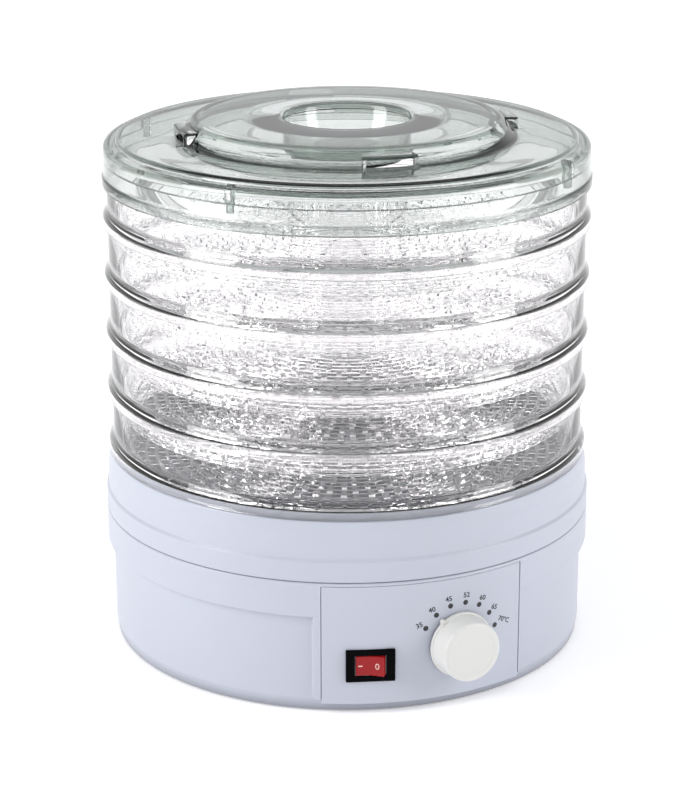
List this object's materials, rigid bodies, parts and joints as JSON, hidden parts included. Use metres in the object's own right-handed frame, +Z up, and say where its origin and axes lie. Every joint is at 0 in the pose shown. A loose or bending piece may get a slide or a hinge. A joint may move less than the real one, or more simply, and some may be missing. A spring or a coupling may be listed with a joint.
{
  "type": "food dehydrator",
  "caption": "Round stacking food dehydrator: fan-and-heater base with rocker switch and temperature dial, clear slotted trays, smoke-tinted lid.",
  "frame": {"origin": "centre of the round base on the surface its feet stand on", "axes": "+Z up, -Y towards the controls, +X to the user's right"},
  "size_m": [0.325, 0.3384, 0.3507],
  "materials": {
    "white_plastic": "satin moulded",
    "clear_plastic": "clear polished",
    "smoke_plastic": "clear smoke tint, polished",
    "knob_plastic": "satin",
    "black_plastic": "gloss",
    "red_plastic": "gloss, translucent",
    "grey_plastic": "satin moulded",
    "foot_rubber": "matt",
    "steel": "rolled",
    "aluminium": "rolled sheet",
    "copper_wire": "enamelled",
    "heater_wire": "oxidised",
    "mica": "natural sheet",
    "lead_black": "satin",
    "lead_white": "satin",
    "lead_red": "satin"
  },
  "bodies": {
    "base": {"air_duct": "grey_plastic", "base_housing": "white_plastic", "bottom_cover": "white_plastic", "control_panel": "white_plastic", "cord_clamp": "grey_plastic", "cord_gland": "foot_rubber", "heat_shield": "aluminium", "heater_coil": "heater_wire", "heater_frame": "mica", "housing_screws": "steel", "lead_heater": "lead_red", "lead_live": "lead_black", "lead_neutral": "lead_white", "motor_bearings": "steel", "motor_bracket": "steel", "motor_coil": "copper_wire", "motor_core": "steel", "motor_mounts": "foot_rubber", "motor_screws": "steel", "outlet_grille": "white_plastic", "rubber_feet": "foot_rubber", "switch_bezel": "black_plastic", "switch_terminals": "steel", "terminal_block": "grey_plastic", "thermal_cutout": "aluminium", "thermal_fuse": "lead_white", "thermostat_body": "grey_plastic", "thermostat_nut": "steel", "top_deck": "white_plastic"},
    "knob": {"knob": "knob_plastic", "thermostat_shaft": "steel"},
    "rocker": {"switch_rocker": "red_plastic"},
    "fan": {"fan_blade": "grey_plastic", "fan_clip": "steel", "rotor_shaft": "steel", "motor_rotor": "aluminium"},
    "tray_1": {"tray_1": "clear_plastic", "tray_1_floor": "clear_plastic", "tray_1_hub": "clear_plastic"},
    "tray_2": {"tray_2": "clear_plastic", "tray_2_floor": "clear_plastic", "tray_2_hub": "clear_plastic"},
    "tray_3": {"tray_3": "clear_plastic", "tray_3_floor": "clear_plastic", "tray_3_hub": "clear_plastic"},
    "tray_4": {"tray_4": "clear_plastic", "tray_4_floor": "clear_plastic", "tray_4_hub": "clear_plastic"},
    "tray_5": {"tray_5": "clear_plastic", "tray_5_floor": "clear_plastic", "tray_5_hub": "clear_plastic"},
    "lid": {"lid": "smoke_plastic"}
  },
  "joints": [
    {"name": "tray_1_lift", "type": "slide", "parent": "base", "child": "tray_1", "axis": [0, 0, 1], "range_m": [0, 0.06]},
    {"name": "tray_2_lift", "type": "slide", "parent": "tray_1", "child": "tray_2", "axis": [0, 0, 1], "range_m": [0, 0.06]},
    {"name": "tray_3_lift", "type": "slide", "parent": "tray_2", "child": "tray_3", "axis": [0, 0, 1], "range_m": [0, 0.06]},
    {"name": "tray_4_lift", "type": "slide", "parent": "tray_3", "child": "tray_4", "axis": [0, 0, 1], "range_m": [0, 0.06]},
    {"name": "tray_5_lift", "type": "slide", "parent": "tray_4", "child": "tray_5", "axis": [0, 0, 1], "range_m": [0, 0.06]},
    {"name": "lid_lift", "type": "slide", "parent": "tray_5", "child": "lid", "axis": [0, 0, 1], "range_m": [0, 0.08]},
    {"name": "knob_turn", "type": "hinge", "parent": "base", "child": "knob", "pos_m": [0.07124, -0.14605, 0.0425], "axis": [0.4384, -0.8988, 0], "range_deg": [-120, 28]},
    {"name": "rocker_tip", "type": "hinge", "parent": "base", "child": "rocker", "pos_m": [0.01464, -0.16084, 0.0341], "axis": [0, 0, 1], "range_deg": [0, 20]},
    {"name": "fan_spin", "type": "hinge", "parent": "base", "child": "fan", "pos_m": [0, 0, 0.066], "axis": [0, 0, 1], "continuous": true}
  ]
}
